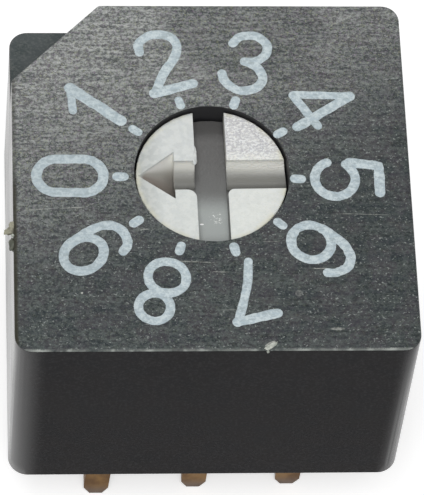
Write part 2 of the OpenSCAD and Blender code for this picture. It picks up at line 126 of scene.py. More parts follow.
class Tree:
    """One material's nodes. Its place output is the object's own coordinates in millimetres."""

    def __init__(self, name, shader="ShaderNodeBsdfPrincipled"):
        self.material = bpy.data.materials.new(name)
        self.material.use_nodes = True
        self.tree = self.material.node_tree
        self.tree.nodes.clear()
        self.out = self.new("ShaderNodeOutputMaterial")
        self.shader = self.new(shader)
        self.tree.links.new(self.shader.outputs[0], self.out.inputs["Surface"])
        coords = self.new("ShaderNodeTexCoord")
        self.place = self.vector("SCALE", coords.outputs["Object"], scale=1 / MM)
        parts = self.new("ShaderNodeSeparateXYZ")
        self.put(parts.inputs[0], self.place)
        self.x, self.y, self.z = parts.outputs

    def new(self, kind):
        return self.tree.nodes.new(kind)

    def put(self, socket, value):
        if isinstance(value, bpy.types.NodeSocket):
            self.tree.links.new(value, socket)
        elif isinstance(value, tuple) and socket.type == "RGBA":
            socket.default_value = (*value, 1)[:4]
        else:
            socket.default_value = value

    def vector(self, operation, a, b=None, scale=None):
        n = self.new("ShaderNodeVectorMath")
        n.operation = operation
        self.put(n.inputs[0], a)
        if b is not None:
            self.put(n.inputs[1], b)
        if scale is not None:
            n.inputs["Scale"].default_value = scale
        return n.outputs[0]

    def math(self, operation, a, b=0.0):
        n = self.new("ShaderNodeMath")
        n.operation = operation
        self.put(n.inputs[0], a)
        self.put(n.inputs[1], b)
        return n.outputs[0]

    def ramp(self, value, low, high, to_low=0.0, to_high=1.0):
        """Smooth step from to_low at low to to_high at high."""
        n = self.new("ShaderNodeMapRange")
        n.interpolation_type = "SMOOTHSTEP"
        for socket, number in zip(n.inputs, (value, low, high, to_low, to_high)):
            self.put(socket, number)
        return n.outputs[0]

    def mix(self, share, a, b):
        n = self.new("ShaderNodeMix")
        n.data_type = "RGBA"
        self.put(n.inputs["Factor"], share)
        self.put(n.inputs[6], a)
        self.put(n.inputs[7], b)
        return n.outputs[2]

    def noise(self, scale, detail=3.0, stretch=(1, 1, 1), offset=(0, 0, 0), roughness=0.5):
        """Noise with about that many features to a millimetre."""
        where = self.vector("ADD", self.vector("MULTIPLY", self.place, stretch), offset)
        n = self.new("ShaderNodeTexNoise")
        self.put(n.inputs["Vector"], where)
        n.inputs["Scale"].default_value = scale
        n.inputs["Detail"].default_value = detail
        n.inputs["Roughness"].default_value = roughness
        return n.outputs[0]

    def spot(self, centre, radii, turn=0.0):
        """1 in an ellipse on the dial, fading to 0 at its edge."""
        cos, sin = math.cos(math.radians(turn)), math.sin(math.radians(turn))
        dx = self.math("SUBTRACT", self.x, centre[0])
        dy = self.math("SUBTRACT", self.y, centre[1])
        along = self.math("ADD", self.math("MULTIPLY", dx, cos), self.math("MULTIPLY", dy, sin))
        across = self.math("SUBTRACT", self.math("MULTIPLY", dy, cos), self.math("MULTIPLY", dx, sin))
        u = self.math("DIVIDE", along, radii[0])
        v = self.math("DIVIDE", across, radii[1])
        distance = self.math("ADD", self.math("MULTIPLY", u, u), self.math("MULTIPLY", v, v))
        return self.ramp(distance, 1.0, 0.45)

    def bump(self, height, strength, depth, edge=0.0):
        """Bump of that depth in millimetres, over edges rounded by edge."""
        n = self.new("ShaderNodeBump")
        n.inputs["Strength"].default_value = strength
        n.inputs["Distance"].default_value = depth * MM
        self.put(n.inputs["Height"], height)
        if edge:
            bevel = self.new("ShaderNodeBevel")
            bevel.samples = 6
            bevel.inputs["Radius"].default_value = edge * MM
            self.put(n.inputs["Normal"], bevel.outputs[0])
        self.put(self.shader.inputs["Normal"], n.outputs[0])

    def finish(self, colour, roughness, metallic=0.0, specular=0.5):
        self.put(self.shader.inputs["Base Color"], colour)
        self.put(self.shader.inputs["Roughness"], roughness)
        self.put(self.shader.inputs["Metallic"], metallic)
        self.put(self.shader.inputs["Specular IOR Level"], specular)
        return self.material


# Scratches and scuffs on the dial: centre, half lengths, turn in degrees, share of light
SCRATCHES = [
    ((-0.55, -2.55), (0.62, 0.012), -3, 0.55),
    ((2.6, -2.75), (0.22, 0.012), 2, 0.8),
    ((1.26, -4.86), (0.17, 0.05), 28, 0.9),
    ((-4.45, -1.05), (0.45, 0.012), 4, 0.5),
    ((-3.55, -1.0), (0.36, 0.012), 3, 0.6),
    ((-1.75, -1.62), (0.13, 0.012), 2, 0.6),
    ((-3.2, 1.0), (0.7, 0.010), 4, 0.3),
    ((3.7, 2.4), (0.5, 0.010), -6, 0.3),
    ((0.4, -3.9), (0.45, 0.010), 2, 0.3),
    ((-3.35, -3.42), (0.035, 0.03), 0, 0.9),
    ((0.11, -2.84), (0.24, 0.012), -2, 0.6),
    ((1.39, -1.98), (0.22, 0.010), 0, 0.5),
    ((3.80, -1.20), (0.75, 0.010), -2, 0.45),
    ((2.95, -4.45), (0.20, 0.045), 0, 0.5),
    ((2.04, -3.45), (0.12, 0.10), 0, 0.25),
]

# Middle of the patch behind digit 3 where the dust is rubbed off
RUBBED = (1.0, 4.6)

# Worn spots of the front top edge: place along it, half length, share of light
EDGE_WEAR = [
    (-4.40, 0.30, 0.9), (-3.69, 0.07, 0.6), (-2.63, 0.07, 0.7), (-2.16, 0.07, 0.6), (-1.72, 0.16, 0.7),
    (-0.84, 0.07, 0.6), (-0.42, 0.20, 0.6), (0.87, 0.13, 0.6), (2.08, 0.27, 0.7), (2.86, 0.06, 0.5),
    (3.23, 0.11, 0.6), (3.73, 0.11, 0.7), (4.25, 0.31, 0.8), (4.79, 0.16, 0.6),
]


def with_dust_and_sheen(t, colour, dust, streak):
    """The dial's colour under pale dust with painted sheen in it, and tinted specks; all are thickest at
    the back left.
    """
    # pale layer that grows towards the back left: part dust, part painted sheen of the glossy plastic
    sheen_and_dust = t.ramp(t.math("SUBTRACT", t.y, t.math("MULTIPLY", t.x, 0.45)), -2.4, 6.5)
    sheen_and_dust_share = t.math("MULTIPLY", sheen_and_dust, t.math("ADD", t.math("MULTIPLY", dust, 0.8), 0.25))
    sheen_and_dust_share = t.math("MULTIPLY", sheen_and_dust_share, t.ramp(streak, 0.35, 0.65, 0.65, 1.3))
    dusty = t.ramp(sheen_and_dust, 0.0, 0.6, 0.10, 0.50)
    rubbed = t.math("SUBTRACT", 0.82, t.math("MULTIPLY", t.spot(RUBBED, (2.5, 2.0)), 0.36))
    colour = t.mix(t.math("MULTIPLY", sheen_and_dust_share, rubbed), colour, (0.46, 0.475, 0.46))
    hue = t.noise(9, 2, offset=(1, 6, 2))
    speckle = t.mix(t.ramp(hue, 0.44, 0.56), (0.30, 0.21, 0.32), (0.36, 0.38, 0.22))
    speckled = t.math("MULTIPLY", t.ramp(t.noise(24, 2, offset=(4, 4, 4)), 0.54, 0.68), dusty)
    return t.mix(speckled, colour, speckle)


def worn_edges(t, colour, grain):
    """The dial's colour, darkened olive at its left edge and worn pale at its front edge."""
    olive_band = t.math("MULTIPLY", t.ramp(t.x, 0.14 - HALF, 0.06 - HALF), t.ramp(t.y, 0.2, -0.6, 0.4, 1.0))
    colour = t.mix(t.math("MULTIPLY", olive_band, 0.85), colour, (0.030, 0.028, 0.015))
    ragged = t.math("ADD", t.z, t.math("MULTIPLY", grain, 0.08))
    front = t.ramp(t.y, 0.08 - HALF, 0.05 - HALF)
    front = t.math("MULTIPLY", front, t.ramp(ragged, DIAL_Z + 0.04, DIAL_Z + 0.01))
    worn_line = t.ramp(t.noise(3, 3, (1, 0.1, 0.1), (8, 0, 0)), 0.36, 0.58, 0.12, 0.6)
    colour = t.mix(t.math("MULTIPLY", front, worn_line), colour, (0.30, 0.32, 0.30))
    for place, half_length, light in EDGE_WEAR:
        distance = t.math("ABSOLUTE", t.math("SUBTRACT", t.x, place))
        spot = t.ramp(t.math("ADD", distance, t.math("MULTIPLY", grain, 0.15)), half_length + 0.1, 0.07)
        worn = t.math("MULTIPLY", t.math("MULTIPLY", spot, front), light)
        colour = t.mix(worn, colour, (0.46, 0.49, 0.46))
    return colour


def dial_plastic():
    """Streaky, speckled black plastic of the dial face, dustier and with painted sheen towards the back
    left.
    """
    t = Tree("dial_plastic")
    streak = t.noise(1.0, 5, (1.2, 13, 1), roughness=0.62)
    cloud = t.noise(0.7, 3, (0.8, 1.6, 1), (3, 7, 1))
    grain = t.noise(13, 3, (0.85, 1.15, 1), (9, 2, 0), 0.8)
    fleck = t.noise(18, 2, (0.9, 1.1, 1), (2, 5, 3))
    tint = t.noise(2.2, 2, offset=(6, 1, 4))
    band = t.noise(1.0, 4, (0.35, 4.5, 1), (2, 8, 5))
    colour = t.mix(t.ramp(streak, 0.36, 0.66), (0.010, 0.015, 0.016), (0.050, 0.058, 0.058))
    colour = t.mix(t.ramp(band, 0.42, 0.60, 0.0, 0.6), colour, (0.012, 0.020, 0.027))
    colour = t.mix(t.ramp(cloud, 0.3, 0.75, 0.0, 0.35), colour, (0.022, 0.032, 0.034))
    colour = t.mix(t.ramp(tint, 0.40, 0.62, 0.0, 0.3), colour, (0.075, 0.055, 0.070))
    dust = t.ramp(grain, 0.40, 0.64)
    # the dust thins towards the right, and this fall-off also paints part of the sheen's fade
    dust_share = t.math("MULTIPLY", dust, t.ramp(t.x, -1.0, 4.0, 0.83, 0.60))
    dust_share = t.math("MULTIPLY", dust_share, t.ramp(band, 0.42, 0.60, 1.05, 0.75))
    colour = t.mix(dust_share, colour, (0.105, 0.124, 0.118))
    colour = with_dust_and_sheen(t, colour, dust, streak)
    colour = t.mix(t.ramp(fleck, 0.62, 0.72, 0.0, 0.6), colour, (0.38, 0.41, 0.39))
    for centre, radii, turn, light in SCRATCHES:
        mark = t.math("MULTIPLY", t.spot(centre, radii, turn), t.ramp(grain, 0.35, 0.55, 0.35, 1.0))
        colour = t.mix(t.math("MULTIPLY", mark, light), colour, (0.50, 0.51, 0.47))
    colour = worn_edges(t, colour, grain)
    rough = t.ramp(grain, 0.3, 0.75, 0.55, 0.38)
    relief = t.math("ADD", t.math("MULTIPLY", streak, 0.6), t.math("MULTIPLY", grain, 0.8))
    t.bump(relief, 0.7, 0.02)
    return t.finish(colour, rough, specular=0.2)


def wall_plastic():
    """Smooth near-black plastic of the walls, glossier on the left and the right."""
    t = Tree("wall_plastic")
    soft = t.noise(0.5, 3, (1, 1, 0.6))
    fine = t.noise(14, 3, (1, 1, 1), roughness=0.7)
    tint = t.noise(1.6, 3, offset=(3, 9, 2))
    colour = t.mix(t.ramp(soft, 0.3, 0.7), (0.0050, 0.0048, 0.0058), (0.0080, 0.0076, 0.0088))
    colour = t.mix(t.ramp(tint, 0.40, 0.60, 0.0, 0.5), colour, (0.0098, 0.0076, 0.0072))
    high = t.ramp(t.z, RIM_Z, DIAL_Z, 0.0, 0.25)
    colour = t.mix(high, colour, (0.016, 0.0155, 0.0175))
    colour = t.mix(t.ramp(fine, 0.46, 0.66, 0.0, 0.7), colour, (0.027, 0.026, 0.028))
    t.bump(fine, 0.15, 0.006)
    left = t.ramp(t.x, 0.95 - HALF, -HALF)
    left = t.math("MULTIPLY", t.math("MULTIPLY", left, left), 0.42)
    right = t.ramp(t.x, HALF - 0.6, HALF, 0.035, 0.145)
    gloss = t.math("ADD", left, right)
    return t.finish(colour, t.ramp(soft, 0.2, 0.8, 0.18, 0.28), specular=gloss)


def ledge_plastic():
    """The cut corner's ledge: smoother than the dial and evenly dull."""
    t = Tree("ledge_plastic")
    cloud = t.noise(1.6, 4, (1, 1.5, 1))
    grain = t.noise(13, 4, (0.8, 1.1, 1), (4, 4, 0), 0.65)
    colour = t.mix(t.ramp(cloud, 0.3, 0.7), (0.030, 0.043, 0.043), (0.058, 0.070, 0.072))
    colour = t.mix(t.ramp(grain, 0.42, 0.70), colour, (0.105, 0.115, 0.112))
    t.bump(grain, 0.4, 0.015)
    return t.finish(colour, t.ramp(grain, 0.3, 0.7, 0.42, 0.55), specular=0.2)


def inner_plastic():
    t = Tree("inner_plastic")
    soft = t.noise(1.5, 3)
    colour = t.mix(soft, (0.016, 0.016, 0.018), (0.026, 0.026, 0.028))
    t.bump(t.noise(14, 3), 0.3, 0.006)
    return t.finish(colour, t.ramp(soft, 0.2, 0.8, 0.42, 0.6))


# Painted glint, a white highlight spot on the floor of the screwdriver slot, and the apex of the arrow's
# head
GLINT = (-0.26, -1.12)
APEX = (-1.87, 0.04)


def arrow_painted_shading(t):
    """Colour inside the arrow: painted light on its far side and painted shade towards its front side,
    grey along the shaft and brown in its head.
    """
    # the groove's far wall is painted light and its front side painted shade
    far_half = t.mix(t.ramp(t.y, 0.46, 0.22), (0.92, 0.92, 0.86), (0.22, 0.22, 0.20))
    groove = t.mix(t.ramp(t.y, 0.22, -0.14), far_half, (0.14, 0.14, 0.13))
    in_head = t.ramp(t.x, -0.90, -0.98)
    from_apex = t.math("MAXIMUM", t.math("SUBTRACT", t.x, APEX[0]), 0.05)
    slope = t.math("DIVIDE", t.math("SUBTRACT", t.y, APEX[1]), from_apex)
    # the head's far slope is painted light, its near slope painted brown shade
    far_cone = t.mix(t.ramp(slope, 0.74, 0.34), (1.0, 1.0, 0.96), (0.38, 0.37, 0.335))
    cone = t.mix(t.ramp(slope, 0.42, -0.15), far_cone, (0.222, 0.194, 0.170))
    # painted shade by the step between the head and the shaft
    step_shade = t.math("MULTIPLY", t.ramp(t.x, -1.35, -1.02, 0.0, 0.55), t.ramp(slope, 0.55, 0.15))
    cone = t.mix(step_shade, cone, (0.20, 0.185, 0.165))
    return t.mix(in_head, groove, cone)


def slot_floor(t, wobble, bead):
    """Colour of the screwdriver slot's floor: darkest at its far end, and lighter at its near end."""
    far = t.ramp(t.math("ADD", t.y, t.math("MULTIPLY", wobble, 0.3)), -1.3, 1.3)
    floor = t.mix(far, (0.150, 0.156, 0.150), (0.094, 0.092, 0.090))
    near = t.ramp(t.math("ADD", t.y, t.math("MULTIPLY", bead, 0.15)), -0.05, -0.80)
    floor = t.mix(near, floor, (0.37, 0.395, 0.385))
    # painted glint: a white highlight spot on the slot's floor
    floor = t.mix(t.spot(GLINT, (0.06, 0.025)), floor, (1.0, 1.0, 1.0))
    specks = t.math("MULTIPLY", t.spot((0.12, -0.95), (0.22, 0.22)), t.ramp(bead, 0.58, 0.66))
    return t.mix(specks, floor, (0.80, 0.82, 0.80))


def knob_plastic():
    """Off-white plastic, with painted light and shade on its top and in the arrow, and a slot floor darker
    towards its far end.
    """
    t = Tree("knob_plastic")
    wobble = t.noise(2.2, 3)
    fine = t.noise(17, 3, (1, 1.2, 1))
    bead = t.noise(17, 2, (0.8, 1, 1), (2, 8, 0), 0.7)
    # painted light and shade on the knob's top: lighter towards the front and right, darker towards the
    # back, the left and the left rim
    back = t.ramp(t.y, -1.2, 1.2)
    left = t.ramp(t.x, 1.2, -1.2)
    top_colour = t.mix(back, (0.75, 0.775, 0.74), (0.68, 0.70, 0.69))
    top_colour = t.mix(t.math("MULTIPLY", left, 0.55), top_colour, (0.58, 0.615, 0.61))
    top_colour = t.mix(t.ramp(t.x, -1.15, -1.75, 0.0, 0.85), top_colour, (0.42, 0.445, 0.43))
    # the far right quarter is rough, and its pale beads are painted glints, most of all beside the arrow
    rough_side = t.math("MULTIPLY", t.ramp(t.x, 0.30, 0.45), t.ramp(t.y, 0.30, 0.42))
    beads = t.math("MULTIPLY", rough_side, t.ramp(bead, 0.42, 0.60))
    top_colour = t.mix(t.math("MULTIPLY", rough_side, 0.8), top_colour, (0.50, 0.49, 0.52))
    top_colour = t.mix(beads, top_colour, (0.86, 0.87, 0.86))
    # pale band along the arrow's far edge, broken by the beads: a painted highlight on that edge
    lip_highlight = t.math("MULTIPLY", rough_side, t.ramp(t.y, 0.72, 0.50))
    top_colour = t.mix(t.math("MULTIPLY", lip_highlight, t.ramp(bead, 0.38, 0.5, 0.4, 1.0)), top_colour, (0.88, 0.89, 0.84))
    top_colour = t.mix(t.ramp(fine, 0.45, 0.8, 0.0, 0.35), top_colour, (0.55, 0.57, 0.53))
    mottle = t.ramp(t.noise(6, 3, offset=(7, 3, 0)), 0.40, 0.62, 0.0, 0.22)
    top_colour = t.mix(mottle, top_colour, (0.93, 0.94, 0.90))
    # warm, slightly yellowed rim
    edge = t.math("MULTIPLY", t.x, t.x)
    edge = t.math("ADD", edge, t.math("MULTIPLY", t.y, t.y))
    yellow = t.math("MULTIPLY", t.ramp(edge, 3.0, 3.6), t.ramp(wobble, 0.35, 0.6))
    top_colour = t.mix(t.math("MULTIPLY", yellow, 0.6), top_colour, (0.72, 0.70, 0.52))
    depth = t.math("SUBTRACT", KNOB_Z, t.z)
    depth = t.math("ADD", depth, t.math("MULTIPLY", t.math("SUBTRACT", wobble, 0.5), 0.06))
    colour = t.mix(t.ramp(depth, 0.015, 0.12), top_colour, arrow_painted_shading(t))
    in_slot = t.math("MULTIPLY", t.ramp(t.math("ABSOLUTE", t.x), 0.46, 0.38), t.ramp(depth, 0.25, 0.46))
    colour = t.mix(in_slot, colour, slot_floor(t, wobble, bead))
    colour = t.mix(t.ramp(depth, 0.75, 0.85), colour, (0.70, 0.72, 0.69))
    relief = t.math("ADD", t.math("MULTIPLY", fine, 0.5), t.math("MULTIPLY", beads, 0.9))
    t.bump(relief, 0.5, 0.02, edge=0.02)
    t.shader.inputs["Subsurface Weight"].default_value = 0.1
    t.shader.inputs["Subsurface Radius"].default_value = (0.15, 0.13, 0.10)
    t.shader.inputs["Subsurface Scale"].default_value = MM
    return t.finish(colour, t.ramp(fine, 0.3, 0.8, 0.36, 0.52), specular=0.45)


def print_paint():
    """Pale blue-grey paint of the digits and ticks, thin in streaks and duller on the left."""
    t = Tree("print_paint")
    streak = t.noise(2.5, 4, (1, 5, 1), roughness=0.6)
    grain = t.noise(12, 3, (0.8, 1, 1), roughness=0.7)
    thin = t.math("MULTIPLY", t.ramp(streak, 0.38, 0.66), t.ramp(grain, 0.38, 0.62))
    colour = t.mix(t.ramp(grain, 0.36, 0.62), (0.62, 0.70, 0.72), (0.46, 0.55, 0.60))
    colour = t.mix(t.math("MULTIPLY", thin, 0.8), colour, (0.36, 0.42, 0.43))
    dull = t.ramp(t.x, -1.5, -4.0, 0.0, 0.25)
    colour = t.mix(dull, colour, (0.34, 0.41, 0.44))
    t.bump(grain, 0.5, 0.012)
    return t.finish(colour, t.ramp(grain, 0.3, 0.7, 0.5, 0.68), specular=0.35)


def terminal_metal():
    """Tarnished bronze, turning greyer towards the dipped tips."""
    t = Tree("terminal_metal")
    blotch = t.noise(2.4, 4, (1, 1, 0.7))
    drawn = t.noise(3, 3, (9, 9, 0.6))
    colour = t.mix(t.ramp(blotch, 0.35, 0.65), (0.215, 0.104, 0.013), (0.125, 0.058, 0.013))
    colour = t.mix(t.ramp(t.z, TIP_Z + 0.60, TIP_Z, 0.0, 0.85), colour, (0.125, 0.093, 0.077))
    t.bump(t.math("ADD", drawn, blotch), 0.4, 0.01, edge=0.04)
    return t.finish(colour, t.ramp(blotch, 0.3, 0.7, 0.40, 0.58), metallic=0.35, specular=0.3)


def strip_metal(name, light, dark, roughness):
    """Rolled metal, with fine lines along the strip."""
    t = Tree(name)
    rolled = t.noise(4, 3, (10, 0.8, 1))
    colour = t.mix(t.ramp(rolled, 0.3, 0.7), light, dark)
    t.bump(rolled, 0.2, 0.003)
    return t.finish(colour, t.ramp(rolled, 0.3, 0.7, roughness, roughness + 0.12), metallic=1.0)


def resin():
    """Dark poured epoxy, glossy, with a slightly wavy skin and small bubbles."""
    t = Tree("resin")
    wave = t.noise(0.9, 2)
    bubble = t.noise(5, 1, (1, 1, 1), (5, 5, 5))
    colour = t.mix(wave, (0.018, 0.013, 0.010), (0.036, 0.024, 0.017))
    dimple = t.ramp(bubble, 0.72, 0.80, 0.0, -0.6)
    t.bump(t.math("ADD", wave, dimple), 0.5, 0.03)
    return t.finish(colour, 0.16)


def rubber():
    t = Tree("rubber")
    fine = t.noise(12, 3)
    colour = t.mix(fine, (0.012, 0.012, 0.012), (0.022, 0.022, 0.023))
    t.bump(fine, 0.3, 0.006)
    return t.finish(colour, 0.55, specular=0.4)


def flash_plastic():
    """Torn flash on the left edge: khaki and grey, lighter than the moulding."""
    t = Tree("flash_plastic")
    blotch = t.noise(5, 3, (1, 1, 1), (1, 2, 8))
    colour = t.mix(t.ramp(blotch, 0.38, 0.62), (0.11, 0.105, 0.075), (0.36, 0.35, 0.26))
    colour = t.mix(t.ramp(t.y, -1.72, -1.82, 0.0, 0.85), colour, (0.060, 0.068, 0.050))
    t.bump(blotch, 0.6, 0.03)
    return t.finish(colour, 0.55)


def flake_plastic():
    """Pale torn flakes on the top edges."""
    t = Tree("flake_plastic")
    blotch = t.noise(9, 3)
    colour = t.mix(t.ramp(blotch, 0.35, 0.65), (0.62, 0.64, 0.58), (0.38, 0.41, 0.36))
    t.bump(blotch, 0.6, 0.02)
    return t.finish(colour, 0.6)


def add_mesh(name, bm, material, body):
    """Turns the bmesh into a smooth-shaded piece that rides on a body."""
    bmesh.ops.recalc_face_normals(bm, faces=bm.faces)
    mesh = bpy.data.meshes.new(name)
    bm.to_mesh(mesh)
    bm.free()
    mesh.materials.append(material)
    mesh.polygons.foreach_set("use_smooth", [True] * len(mesh.polygons))
    mesh.set_sharp_from_angle(angle=math.radians(40))
    piece = bpy.data.objects.new(name, mesh)
    bpy.context.scene.collection.objects.link(piece)
    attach(piece, body)


def softened(name, node, body, materials, is_soft_edge, width, choose):
    """A copy of a CAD node with its outer edges slightly rounded, which then stands for the node."""
    bm = bmesh.new()
    bm.from_mesh(nodes[node].data)
    bmesh.ops.remove_doubles(bm, verts=bm.verts, dist=WELD * MM)
    bmesh.ops.dissolve_limit(bm, angle_limit=FLAT_ANGLE, verts=bm.verts, edges=bm.edges)
    edges = [
        e for e in bm.edges
        if len(e.link_faces) == 2 and e.calc_face_angle(0) > SHARP_ANGLE and is_soft_edge(e)
    ]
    bmesh.ops.bevel(
        bm, geom=edges, offset=width * MM, offset_type="OFFSET", segments=3, profile=0.5,
        affect="EDGES", clamp_overlap=True,
    )
    mesh = bpy.data.meshes.new(name)
    bm.to_mesh(mesh)
    bm.free()
    if "custom_normal" in mesh.attributes:
        mesh.attributes.remove(mesh.attributes["custom_normal"])
    for material in materials:
        mesh.materials.append(material)
    for polygon in mesh.polygons:
        polygon.use_smooth = True
        polygon.material_index = choose(polygon)
    mesh.set_sharp_from_angle(angle=SHARP_ANGLE)
    piece = bpy.data.objects.new(name, mesh)
    bpy.context.scene.collection.objects.link(piece)
    even = piece.modifiers.new("even_normals", "WEIGHTED_NORMAL")
    even.keep_sharp = True
    even.weight = 100
    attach(piece, body)
    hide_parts(node)


def housing_material(polygon):
    """0 on the dial face and its rounded edge, 1 on the walls, 2 inside, 3 on the step's ledge."""
    centre = polygon.center / MM
    inside = max(abs(centre.x), abs(centre.y)) < HALF - WALL_THICKNESS and centre.z < DIAL_Z - SKIN
    in_corner = centre.y - centre.x > 2 * HALF - STEP_LEG - STEP_SLACK
    on_step = in_corner and centre.z > DIAL_Z - STEP_DEPTH - STEP_SLACK
    if polygon.normal.z > RIM_TILT and centre.z > DIAL_Z - EDGE_BAND:
        return 0
    if polygon.normal.z > LEVEL_TILT and on_step:
        return 3
    return 2 if inside and not on_step else 1


def make_housing():
    def is_outer(edge):
        middle = (edge.verts[0].co + edge.verts[1].co) / 2 / MM
        at_wall = max(abs(middle.x), abs(middle.y)) > HALF - OUTER_BAND
        in_corner = middle.y - middle.x > 2 * HALF - STEP_LEG - STEP_SLACK
        return at_wall or (in_corner and middle.z > DIAL_Z - STEP_DEPTH - STEP_SLACK)

    softened(
        "moulded_housing", "housing", "housing",
        [dial_plastic(), wall_plastic(), inner_plastic(), ledge_plastic()], is_outer, EDGE_ROUNDING,
        housing_material,
    )


# Printing: the digits' own frame has u across, clockwise round the dial, and r outwards. Angles are in
# degrees, and SUNK is how far the ink reaches into the dial
PRINT_CENTRE = Vector((-0.027, -0.054))
TICK_TURN = -1.1
TICK_LENGTH = 0.17
TICK_WIDTH = 0.24
INK_WIDTH = 0.255
INK_HEIGHT = 0.014
SUNK = 0.002
PRINT_STRETCH = 1.005
FIRST_ANGLE = 179.7
STEP_ANGLE = -36

# A stroke's pieces, the share of its width that its flat top takes, and the pieces of a round end
STROKE_STEP = 0.08
TOP_SHARE = 0.84
CAP_STEPS = 8


def arc(centre, radii, start, end):
    """Points along an ellipse's arc, angles in degrees from +u towards +r."""
    count = max(6, int(abs(end - start) / 9))
    angles = [math.radians(start + (end - start) * i / count) for i in range(count + 1)]
    return [(centre[0] + radii[0] * math.cos(a), centre[1] + radii[1] * math.sin(a)) for a in angles]


def curve(*points, steps=7):
    """Smooth curve through the points."""
    ends = [points[0], *points, points[-1]]
    out = []
    for a, b, c, d in zip(ends, ends[1:], ends[2:], ends[3:]):
        for i in range(steps):
            s = i / steps
            out.append(tuple(
                q + 0.5 * s * (r - p + s * (2 * p - 5 * q + 4 * r - t + s * (3 * q - p - 3 * r + t)))
                for p, q, r, t in zip(a, b, c, d)
            ))
    return [*out, points[-1]]


# Middle of each tick, from the one at 0 on
TICKS = [
    (-2.31, -0.10), (-1.90, 1.25), (-0.75, 2.07), (0.66, 2.07), (1.78, 1.18),
    (2.17, -0.17), (1.66, -1.47), (0.49, -2.21), (-0.87, -2.17), (-1.95, -1.40),
]

# Each digit is a list of strokes, and each stroke is its centre line and its width
DIGITS = [
    [
        (arc((-0.04, 3.87), (0.485, 0.51), 0, 180) + arc((-0.04, 3.21), (0.485, 0.51), 180, 360)
         + [(0.445, 3.87)], 0.27),
    ],
    [([(0.0, 4.33), (-0.035, 2.74)], 0.31), ([(0.0, 4.33), (-0.51, 3.88)], 0.22)],
    [
        (curve((-0.52, 3.97), (-0.42, 4.26), (-0.05, 4.38), (0.33, 4.24), (0.47, 3.93), (0.30, 3.58),
               (-0.13, 3.20), (-0.53, 2.70)), INK_WIDTH),
        ([(-0.56, 2.70), (0.47, 2.68)], 0.28),
    ],
    [
        (curve((-0.56, 3.93), (-0.44, 4.18), (-0.08, 4.33), (0.26, 4.18), (0.33, 3.88), (0.16, 3.61),
               (-0.12, 3.50)), 0.25),
        (curve((-0.12, 3.50), (0.22, 3.44), (0.45, 3.15), (0.36, 2.82), (-0.02, 2.62), (-0.40, 2.74),
               (-0.57, 2.98)), INK_WIDTH),
    ],
    [
        ([(0.23, 4.29), (0.17, 2.64)], 0.26),
        ([(0.20, 4.27), (-0.64, 3.16)], 0.23),
        ([(-0.64, 3.14), (0.45, 3.08)], 0.24),
    ],
    [
        ([(0.50, 4.24), (-0.28, 4.24), (-0.38, 3.50)], 0.27),
        (arc((0.10, 3.12), (0.51, 0.51), 146, -158), INK_WIDTH),
    ],
    [
        (arc((0.135, 3.11), (0.485, 0.51), 0, 360), INK_WIDTH),
        (curve((-0.35, 3.12), (-0.35, 3.45), (-0.29, 3.83), (-0.10, 4.13), (0.18, 4.23), (0.46, 4.12),
               (0.61, 3.92)), INK_WIDTH),
    ],
    [
        ([(-0.23, 4.22), (0.80, 4.15)], 0.27),
        (curve((0.78, 4.15), (0.44, 3.63), (0.15, 3.10), (-0.04, 2.63)), 0.235),
    ],
    [
        (arc((0.27, 4.06), (0.395, 0.385), 0, 360), 0.245),
        (arc((0.21, 3.16), (0.48, 0.44), 0, 360), 0.25),
    ],
    [
        (arc((0.045, 3.96), (0.445, 0.53), 0, 360), INK_WIDTH),
        (curve((0.49, 3.94), (0.50, 3.59), (0.47, 3.24), (0.30, 2.91), (-0.03, 2.78), (-0.35, 2.90),
               (-0.47, 3.12)), INK_WIDTH),
    ],
]


def stroke(bm, points, width, height, seed):
    """Flat ribbon of ink with round ends and soft, slightly uneven sides, along points on the dial."""
    line = [Vector(points[0])]
    for p in points[1:]:
        if (Vector(p) - line[-1]).length > 0.02:
            line.append(Vector(p))
    closed = (line[0] - line[-1]).length < STROKE_STEP
    if closed:
        line[-1] = line[0].copy()
    smooth = [line[0]]
    for a, b in zip(line, line[1:]):
        count = max(1, round((b - a).length / STROKE_STEP))
        smooth += [a.lerp(b, (i + 1) / count) for i in range(count)]
    line = smooth
    rows = []
    profile = [(-1.0, 0.0), (-TOP_SHARE, 1.0), (TOP_SHARE, 1.0), (1.0, 0.0)]
    for i, p in enumerate(line):
        before = line[i - 1] if i else (line[-2] if closed else line[0])
        after = line[i + 1] if i + 1 < len(line) else (line[1] if closed else line[-1])
        along = (after - before).normalized()
        across = Vector((-along.y, along.x))
        rows.append((p, along, across))

    def uneven(p, side):
        """Half the stroke's width at p, wavering on each side by itself."""
        where = Vector((p.x, p.y, seed + math.copysign(9, side)))
        return width / 2 * (1 + 0.13 * noise.noise(where * 4) + 0.10 * noise.noise(where * 13))

    def vertex(p, rise):
        """A vertex at p on the dial, at that share of the ink's height."""
        return bm.verts.new((*p * MM, (DIAL_Z - SUNK + (height + SUNK) * rise) * MM))

    def ring(p, across):
        return [vertex(p + across * side * uneven(p, side), rise) for side, rise in profile]

    rings = [ring(p, across) for p, along, across in rows]
    if closed:
        rings[-1] = rings[0]
    for a, b in zip(rings, rings[1:]):
        for j in range(4):
            bm.faces.new((a[j], a[(j + 1) % 4], b[(j + 1) % 4], b[j]))
    if closed:
        return
    for at, sign in ((0, -1), (-1, 1)):
        p, along, across = rows[at]
        outer, inner = [rings[at][3]], [rings[at][2]]
        for i in range(1, CAP_STEPS):
            a = math.pi * i / CAP_STEPS
            way = across * math.cos(a) + along * sign * math.sin(a)
            half = uneven(p, 1) + (uneven(p, -1) - uneven(p, 1)) * i / CAP_STEPS
            outer.append(vertex(p + way * half, 0))
            inner.append(vertex(p + way * half * TOP_SHARE, 1))
        outer.append(rings[at][0])
        inner.append(rings[at][1])
        for i in range(CAP_STEPS):
            bm.faces.new((outer[i], outer[i + 1], inner[i + 1], inner[i]))
        bm.faces.new(inner)
        bm.faces.new(outer)


